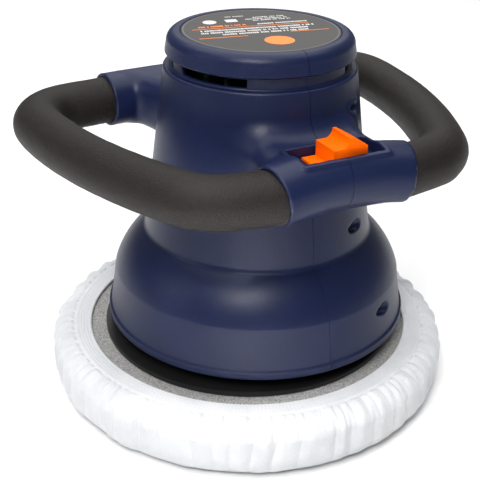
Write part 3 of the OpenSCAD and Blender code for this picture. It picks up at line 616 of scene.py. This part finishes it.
def surface(field, axes, place):
    """Surface nets on a grid. axes are the three coordinates of a warped grid, and place maps them to points.
    Returns the points on field's zero surface and the quads that join them."""
    a, b, c = (np.asarray(v, float) for v in axes)
    value = np.empty((len(a), len(b), len(c)), np.float32)
    slab = 24
    for i in range(0, len(a), slab):
        grid = np.meshgrid(a[i:i + slab], b, c, indexing="ij")
        value[i:i + slab] = field(*place(*grid))
    solid = value < 0
    cells = np.zeros(tuple(n - 1 for n in value.shape), np.int8)
    for i in (0, 1):
        for j in (0, 1):
            for k in (0, 1):
                cells += solid[i:solid.shape[0] - 1 + i, j:solid.shape[1] - 1 + j, k:solid.shape[2] - 1 + k]
    active = (cells > 0) & (cells < 8)
    index = np.full(cells.shape, -1, np.int64)
    where = np.argwhere(active)
    index[active] = np.arange(len(where))
    total, count = np.zeros((len(where), 3)), np.zeros(len(where))
    i, j, k = where.T
    for axis in range(3):
        for u in (0, 1):
            for v in (0, 1):
                low = [i, j, k]
                others = [n for n in range(3) if n != axis]
                low[others[0]] = low[others[0]] + u
                low[others[1]] = low[others[1]] + v
                high = list(low)
                high[axis] = high[axis] + 1
                f0, f1 = value[tuple(low)], value[tuple(high)]
                hit = (f0 < 0) != (f1 < 0)
                t = np.where(hit, f0 / np.where(hit, f0 - f1, 1), 0)
                for n, line in enumerate((a, b, c)):
                    start, end = line[low[n]], line[high[n]]
                    total[:, n] += np.where(hit, start + (end - start) * t, 0)
                count += hit
    points = np.stack(place(*(total / count[:, None]).T), axis=1)
    quads = []
    for axis in range(3):
        shape = list(value.shape)
        take0, take1 = [slice(None)] * 3, [slice(None)] * 3
        take0[axis], take1[axis] = slice(0, shape[axis] - 1), slice(1, shape[axis])
        s0, s1 = solid[tuple(take0)], solid[tuple(take1)]
        edge = np.argwhere(s0 != s1)
        others = [n for n in range(3) if n != axis]
        keep = np.ones(len(edge), bool)
        for n in others:
            keep &= (edge[:, n] > 0) & (edge[:, n] < shape[n] - 1)
        edge = edge[keep]
        up = s0[tuple(edge.T)]
        ring = []
        for u, v in ((-1, -1), (0, -1), (0, 0), (-1, 0)):
            cell = edge.copy()
            cell[:, others[0]] += u
            cell[:, others[1]] += v
            ring.append(index[tuple(cell.T)])
        quad = np.stack(ring, axis=1)
        if axis == 1:
            up = ~up
        quad[~up] = quad[~up][:, ::-1]
        quads.append(quad)
    quads = np.concatenate(quads)
    step = 0.05
    for _ in range(3):  # slide the points onto the surface
        f = field(*points.T)
        slope = np.stack([(field(*(points + step * e).T) - field(*(points - step * e).T)) / (2 * step)
                          for e in np.eye(3)], axis=1)
        size = np.maximum((slope ** 2).sum(axis=1), 0.25)
        points -= np.clip(f / size, -0.5, 0.5)[:, None] * slope
    return points, quads


def levels(*runs):
    """Grid levels: each run is (start, end, step)."""
    out = []
    for start, end, step in runs:
        n = max(1, round((end - start) / step))
        out += [start + (end - start) * k / n for k in range(n)]
    return out + [runs[-1][1]]


def shell_half(right):
    """One housing shell, meshed on a cylindrical grid to keep its round edges even, and cut at the seam."""
    coarse = 1
    side = 1 if right else -1
    angles = np.linspace(-94, 94, 251 // coarse)
    radii = levels((0.5, 46, 3.0), (46, 60.5, 0.75), (60.5, 92, 1.2 * coarse), (92, 101.5, 0.85 * coarse),
                   (101.5, 146, 1.3 * coarse))
    heights = levels((RIM_Z - 0.8, 55, 0.55), (55, 106, 1.25 * coarse), (106, 110, 0.8),
                     (110, 177, 1.15 * coarse), (177, 193, 0.9), (193, 213, 1.15 * coarse), (213, 225.5, 0.6),
                     (225.5, 233, 0.9), (233, TOTAL_H + 0.6, 0.45))

    def place(t, r, z):
        t = np.radians(t)
        return side * r * np.cos(t), r * np.sin(t), z

    points, quads = surface(lambda x, y, z: shell_distance(x, y, z, right), (angles, radii, heights), place)
    if not right:
        quads = quads[:, ::-1]
    name = "housing_half_right" if right else "housing_half_left"
    obj = show(name + "_shell", points, quads, "housing", "housing_plastic", [name])
    bm = bmesh.new()
    bm.from_mesh(obj.data)
    bmesh.ops.bisect_plane(bm, geom=bm.verts[:] + bm.edges[:] + bm.faces[:], dist=1e-6,
                           plane_co=(side * SEAM * MM, 0, 0), plane_no=(side, 0, 0), clear_inner=True)
    rim = [e for e in bm.edges
           if e.is_boundary and all(abs(v.co.x - side * SEAM * MM) < 2e-6 for v in e.verts)]
    bmesh.ops.triangle_fill(bm, edges=rim, use_beauty=True)
    for f in bm.faces:
        if all(abs(v.co.x - side * SEAM * MM) < 2e-6 for v in f.verts):
            f.smooth = False
            for e in f.edges:
                if len(e.link_faces) == 2 and any(
                        abs(v.co.x - side * SEAM * MM) > 2e-6 for g in e.link_faces for v in g.verts):
                    e.smooth = False
        else:
            f.smooth = True
    bm.to_mesh(obj.data)
    bm.free()
    obj.data.update()
    return obj


# ---------------------------------------------------------------- pad and bonnet

PLATE_TOP_Z = pad_hi[2]
MOUTH_R = corners("bonnet_elastic")[1][0] - PAD_X - 3
BONNET_R = bonnet_hi[0] - PAD_X
PAD_R = pad_hi[0] - PAD_X


def resample(points, count):
    """Points spaced evenly along a polyline."""
    points = np.asarray(points, float)
    run = np.concatenate([[0], np.cumsum(np.linalg.norm(np.diff(points, axis=0), axis=1))])
    at = np.linspace(0, run[-1], count)
    return np.stack([np.interp(at, run, points[:, n]) for n in range(points.shape[1])], axis=1)


PLEATS = 108
BAND_W = 9.5  # the flat elastic band, before the pleats that it gathers
CLOTH_AROUND = 1320  # points round the cloth


def bonnet():
    """The cloth cup: flat below, bulging at the side, gathered into close ribs towards its mouth."""
    around = CLOTH_AROUND
    a = np.arange(around) * 2 * np.pi / around
    hem_r = MOUTH_R + 2.2
    top_z = PLATE_TOP_Z + 2.6
    side = (arc((BONNET_R - 14.6, 14.2), 14, -90, 0, 12)
            + arc((BONNET_R - 13.1, PLATE_TOP_Z - 9.6), 12.5, 6, 84, 12)
            + [(hem_r + 5, top_z - 0.15), (hem_r, top_z - 0.4)])
    rounded = resample(side, 400)
    run = np.concatenate([[0], np.cumsum(np.linalg.norm(np.diff(rounded, axis=0), axis=1))])
    share = np.concatenate([np.linspace(0, 1, 36)[:-1] * (run[-1] - BAND_W - 3),
                            run[-1] - BAND_W - 3 + np.linspace(0, 1, 30) * (BAND_W + 3)])
    rounded = np.stack([np.interp(share, run, rounded[:, n]) for n in (0, 1)], axis=1)
    outer = np.concatenate([[(r, 0.25) for r in (0.5, 30, 60, 85, 100, 110)], rounded])
    below = outer[:, 1] < 3
    d = np.gradient(outer, axis=0)
    normal = np.stack([d[:, 1], -d[:, 0]], axis=1)
    normal /= np.linalg.norm(normal, axis=1)[:, None]
    run = np.concatenate([[0], np.cumsum(np.linalg.norm(np.diff(outer, axis=0), axis=1))])
    back = run[-1] - run  # distance from the hem, along the cloth

    wander = ring_noise(3, 5, 40, 14)
    strong = ring_noise(4, 9, 60, 16)
    fold = ring_noise(5, 28, 70, 18)
    broad = ring_noise(6, 7, 26, 12)
    slant = ring_noise(8, 3, 12, 8)
    band = BAND_W
    phase = PLEATS * a + 2.6 * wander(a)
    lean = (back[:, None] - band) * 0.06 * slant(a)[None, :]
    pleat = np.abs(np.sin((phase[None, :] + lean) / 2)) ** 0.8 - 0.6
    pair = np.abs(np.sin((phase[None, :] + 2 * lean) / 4 + 0.7)) ** 0.9 - 0.58
    uneven = np.clip(1 + 0.55 * strong(a), 0.25, 2)[None, :]
    near = smooth_step(back, band, band + 2.5) * (1 - smooth_step(back, band + 8, band + 26))
    mid = smooth_step(back, band + 2, band + 14) * (1 - smooth_step(back, 34, 62))
    low = smooth_step(back, 16, 34) * (1 - smooth_step(back, 50, 74))
    height = (near[:, None] * 1.9 * pleat * uneven
              + mid[:, None] * 2.1 * pair * uneven
              + mid[:, None] * 0.45 * fold(a)[None, :]
              + low[:, None] * 0.7 * broad(a)[None, :])
    # fine rows of rubber thread in the band, and the stitches at its outer edge
    in_band = 1 - smooth_step(back, band - 1.0, band)
    height += (in_band * (0.55 + 0.13 * np.cos(2 * np.pi * back / 1.9)))[:, None]
    height += (in_band[:, None] * 0.07 * np.cos(3 * PLEATS * a)[None, :])
    dip = np.exp(-((back - band - 0.6) / 0.7) ** 2)
    height -= dip[:, None] * (0.30 + 0.2 * np.cos(2.5 * PLEATS * a)[None, :])
    height[below] = 0
    r = outer[:, :1] + normal[:, :1] * height
    z = np.maximum(outer[:, 1:] + normal[:, 1:] * height, 0.2)

    inner = outer - normal * 1.3
    inner[:, 1] = np.maximum(inner[:, 1], 1.5)
    r_in = inner[:, :1] + normal[:, :1] * height * 0.85
    z_in = inner[:, 1:] + normal[:, 1:] * height * 0.85
    roll = np.array([(hem_r - 0.9, top_z - 1.0), (hem_r - 0.5, top_z - 1.7)])
    roll_r = np.repeat(roll[:, :1], around, axis=1)
    roll_z = np.repeat(roll[:, 1:], around, axis=1)
    r = np.concatenate([r, roll_r, r_in[::-1]])
    z = np.concatenate([z, roll_z, z_in[::-1]])
    points = np.stack([PAD_X + r * np.cos(a), r * np.sin(a), z], axis=2).reshape(-1, 3)
    rows = len(r)
    faces = [tuple(f) for f in grid_faces(rows, around)]
    faces.append(tuple(range(around))[::-1])
    faces.append(tuple((rows - 1) * around + k for k in range(around)))
    piece = show("bonnet_cup", points, faces, "pad", "bonnet_cloth", ["bonnet"])
    flat = 2 * run[-1] * MM  # the cloth's path from the centre to the hem, both ways
    return piece, flat


def hem():
    """The bonnet's rolled hem round its elastic, with the same gathers."""
    around, rows = CLOTH_AROUND, 12
    a = np.arange(around) * 2 * np.pi / around
    rib = 0.5 * np.cos(3 * PLEATS * a)
    t = np.arange(rows) * 2 * np.pi / rows
    size = 1.15 + 0.28 * rib
    r = MOUTH_R + 1.55 + np.cos(t)[:, None] * size[None, :]
    z = PLATE_TOP_Z + 1.75 + np.sin(t)[:, None] * size[None, :] * 0.95
    points = np.stack([PAD_X + r * np.cos(a), r * np.sin(a), z], axis=2).reshape(-1, 3)
    return show("bonnet_hem", points, grid_faces(rows, around, close_rows=True, flip=True), "pad",
                "bonnet_cloth", ["bonnet_elastic"])


def foam():
    """The foam pad, with its felt face's pile as fine relief and a slightly ragged rim round the plate."""
    around = 540
    z0 = pad_lo[2]
    profile = np.concatenate([
        resample([(14.0, z0)] + arc((PAD_R - 11, z0 + 11), 11, -90, 0, 8)
                 + arc((PAD_R - 7, PLATE_TOP_Z - 7), 7, 0, 90, 6) + [(112, PLATE_TOP_Z)], 46),
        resample([(111.5, PLATE_TOP_Z), (94, PLATE_TOP_Z)], 26),
        [(60, PLATE_TOP_Z - 0.1), (14, PLATE_TOP_Z - 0.1)]])
    a = np.arange(around) * 2 * np.pi / around
    rng = np.random.default_rng(11)
    relief = rng.normal(0, 1, (len(profile), around))
    relief = (relief + np.roll(relief, 1, 1) + np.roll(relief, -1, 1)) / 3
    on_top = (profile[:, 0] > 94) & (profile[:, 0] < 112) & (profile[:, 1] > PLATE_TOP_Z - 0.05)
    z = profile[:, 1:] + np.where(on_top, 0.16, 0.0)[:, None] * (relief - 1.0)
    r = profile[:, :1] + np.where(on_top, 0.2, 0.0)[:, None] * np.roll(relief, 7, 1)
    points = np.stack([PAD_X + r * np.cos(a), r * np.sin(a), z], axis=2).reshape(-1, 3)
    return show("foam_pad_felt", points, grid_faces(len(profile), around, close_rows=True), "pad", "pad_foam",
                ["foam_pad"])


# ---------------------------------------------------------------- label

LABEL_TURN = math.radians(-9.4)


def plate(outline, height=0.12):
    """A thin raised print from a convex or simple outline on the label, in the label's own turned axes."""
    c, s = math.cos(LABEL_TURN), math.sin(LABEL_TURN)
    ring = [(x * c - y * s, x * s + y * c) for x, y in outline]
    low, high = label_hi[2] + 0.02, label_hi[2] + 0.02 + height
    n = len(ring)
    verts = [(x, y, low) for x, y in ring] + [(x, y, high) for x, y in ring]
    faces = [tuple(range(n))[::-1], tuple(range(n, 2 * n))]
    faces += [(k, (k + 1) % n, n + (k + 1) % n, n + k) for k in range(n)]
    return verts, faces


def gather(parts):
    verts, faces = [], []
    for v, f in parts:
        faces += [tuple(i + len(verts) for i in face) for face in f]
        verts += v
    return verts, faces


def bar(x0, x1, y, h, lean=0.0):
    return plate([(x0, y - h / 2), (x1, y - h / 2), (x1 + lean, y + h / 2), (x0 + lean, y + h / 2)])


def word_row(x0, x1, y, h, seed):
    """A row of bars that stands for a line of small print."""
    rng = np.random.default_rng(seed)
    out, x = [], x0
    while x < x1 - 1.5:
        w = min(rng.uniform(0.6, 1.15), x1 - x)
        out.append(bar(x, x + w, y, h * rng.uniform(0.75, 1.0)))
        x += w + (1.5 if rng.uniform() < 0.2 else 0.45)
    return out


def label():
    around, low, high = 192, label_lo[2], label_hi[2]
    film = turn([(0.02, low), (LABEL_R - 0.1, low), (LABEL_R, low + 0.1), (LABEL_R, high - 0.15),
                 (LABEL_R - 0.15, high), (30, high), (0.02, high)], around)
    show("label_film", film, grid_faces(7, around, close_rows=True), "housing", "label_plastic",
         ["label_disc"], sharp=30)

    ring_r = LABEL_R - 1.4
    ring = turn([(ring_r - 0.22, high + 0.01), (ring_r + 0.22, high + 0.01),
                 (ring_r + 0.18, high + 0.1), (ring_r - 0.18, high + 0.1)], around)
    show("label_ring", ring, grid_faces(4, around, close_rows=True), "housing", "label_plastic", (),
         PRINT_GREY, sharp=30)

    pale = (word_row(-37, 37, 4.0, 3.0, 1) + word_row(-38, 33, -0.9, 3.0, 2) + word_row(-26, 30, -5.9, 3.0, 3)
            + word_row(2, 36, 12.8, 2.4, 4) + word_row(2, 28, 21.5, 1.8, 5) + word_row(-2, 27, 25.0, 1.8, 6)
            + word_row(4, 26, 28.6, 1.8, 7) + word_row(-13, 0, 33.5, 1.6, 8))
    pale += [plate([(-26 + 4.4 * math.cos(t), 23.5 + 4.4 * math.sin(t))
                    for t in np.linspace(0, 2 * math.pi, 25)[:-1]]),
             plate([(-15.5, 21), (-8, 21), (-8, 27), (-15.5, 27)])]
    verts, faces = gather(pale)
    show("label_print_pale", verts, faces, "housing", "label_plastic", (), PRINT_PALE, smooth=False)

    bright = [bar(-42, -12, -11.6, 0.75), bar(16, 41, -8.9, 0.75), bar(-41, 34, 8.6, 0.75)]
    bright += word_row(-36, -4, 13.0, 3.0, 9)
    # a plain disc in place of the mark
    bright.append(plate([(3 + 9 * math.cos(t), -25.5 + 9 * math.sin(t))
                         for t in np.linspace(0, 2 * math.pi, 49)[:-1]]))
    verts, faces = gather(bright)
    show("label_print_orange", verts, faces, "housing", "label_plastic", (), PRINT_ORANGE, smooth=False)


# ---------------------------------------------------------------- build

shell_half(True)
shell_half(False)
grip(1)
grip(-1)
label()
cup, flat = bonnet()
hem_piece = hem()
pad_piece = foam()

subparts = {p["node"]: p["material_slot"] for p in frame["record"]["subparts"]}
EDGE = {"switch_slider": 0.5, "power_inlet": 0.5, "housing_screws": 0.2, "cooling_fan": 0.3,
        "counterweight": 0.4, "eccentric_hub": 0.3, "motor_bracket": 0.3}
for node, slot_name in subparts.items():
    obj = bpy.data.objects.get(node)
    if obj is None or obj.hide_render:
        continue
    obj.data.materials.clear()
    obj.data.materials.append(MATERIALS[slot_name])
    if node in EDGE:
        weld = obj.modifiers.new("weld", "WELD")
        weld.merge_threshold = 0.00001
        edge = obj.modifiers.new("edge", "BEVEL")
        edge.width = EDGE[node] * MM
        edge.segments = 3
        edge.limit_method = "ANGLE"
        edge.angle_limit = math.radians(35)
        edge.harden_normals = True
        obj.data.polygons.foreach_set("use_smooth", [True] * len(obj.data.polygons))


# ---------------------------------------------------------------- stage

def material_plain(name, colour, rough):
    made, nodes, links, shader, where = new_material(name)
    stops = [(0.0, shade(colour, 0.995)), (1.0, colour)]
    links.new(ramp(nodes, links, noise(nodes, links, where, 3.0), stops), shader.inputs["Base Color"])
    shader.inputs["Roughness"].default_value = rough
    shader.inputs["Specular IOR Level"].default_value = 0.1
    return made


floor_mesh = bpy.data.meshes.new("floor")
SIZE = 6.0
floor_mesh.from_pydata([(-SIZE, -SIZE, 0), (SIZE, -SIZE, 0), (SIZE, SIZE, 0), (-SIZE, SIZE, 0)], [],
                       [(0, 1, 2, 3)])
floor = bpy.data.objects.new("floor", floor_mesh)
floor_mesh.materials.append(material_plain("floor", (0.90, 0.90, 0.90), 0.8))
bpy.context.scene.collection.objects.link(floor)


def area_light(name, place, aim, size, power, spread=180):
    data = bpy.data.lights.new(name, "AREA")
    data.spread = math.radians(spread)
    data.shape = "RECTANGLE"
    data.size, data.size_y = size
    data.energy = power
    obj = bpy.data.objects.new(name, data)
    obj.location = place
    obj.rotation_euler = (Vector(aim) - Vector(place)).to_track_quat("-Z", "Y").to_euler()
    bpy.context.scene.collection.objects.link(obj)


area_light("top", (0.1, 0.45, 1.5), (0.1, 0.45, 0), (2.0, 2.0), 33)
# a brighter patch of floor in front, which the upright walls mirror
area_light("floor_front", (-0.20, -0.36, 1.3), (-0.20, -0.36, 0), (0.2, 0.2), 2.2, spread=26)
area_light("key_front", (-0.56, -0.70, 1.05), (0, 0, 0.1), (0.45, 0.45), 13)
area_light("fill_left", (-1.3, 0.15, 0.7), (0, 0, 0.12), (0.6, 0.8), 2.5)
area_light("back", (0.6, 1.2, 0.9), (0, 0, 0.15), (1.0, 0.6), 2)

world = bpy.data.worlds.new("studio")
world.use_nodes = True
world.node_tree.nodes["Background"].inputs[0].default_value = (1, 1, 1, 1)
world.node_tree.nodes["Background"].inputs[1].default_value = 0.17
bpy.context.scene.world = world
bpy.context.scene.view_settings.view_transform = "Standard"
bpy.context.scene.view_settings.look = "None"

cam_data = bpy.data.cameras.new("camera")
camera = bpy.data.objects.new("camera", cam_data)
bpy.context.scene.collection.objects.link(camera)
eye, aim = Vector((-0.2788, -0.5167, 0.3935)), Vector((0, 0, 0.100))
look = (aim - eye).to_track_quat("-Z", "Y")
camera.rotation_mode = "QUATERNION"
camera.location = eye
camera.rotation_quaternion = look @ Matrix.Rotation(math.radians(1.2), 4, "Z").to_quaternion()
cam_data.sensor_width = 36
cam_data.lens = 72.1
cam_data.shift_x = -0.0346
cam_data.shift_y = -0.0283
bpy.context.scene.camera = camera
